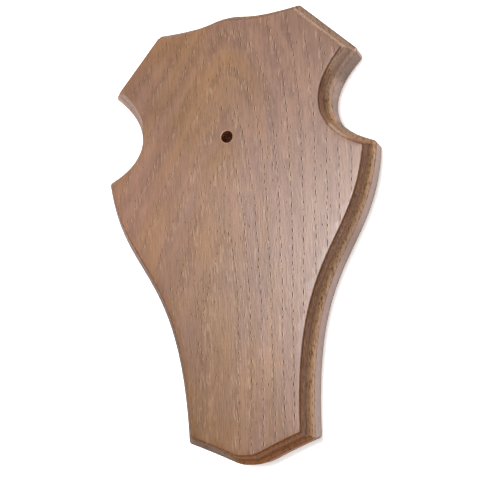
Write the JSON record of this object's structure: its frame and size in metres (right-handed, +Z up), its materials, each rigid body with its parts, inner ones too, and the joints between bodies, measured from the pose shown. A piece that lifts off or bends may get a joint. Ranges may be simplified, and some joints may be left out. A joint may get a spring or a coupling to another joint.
{
  "type": "antler mounting plaque",
  "caption": "Shield-shaped solid wood wall plaque with side notches, a routed moulded edge and a screw hole, for mounting a small pair of antlers.",
  "frame": {"origin": "on the flat back face, on the centre line, halfway up the board", "axes": "+Z up the board and along the grain, +Y out of the back towards the wall, -Y out of the moulded front, +X to the right seen from the front"},
  "size_m": [0.154, 0.0195, 0.24],
  "materials": {
    "stained_wood": "open-pored hardwood in a thin brown stain, satin"
  },
  "bodies": {
    "root": {"plaque_board": "stained_wood"}
  },
  "joints": []
}
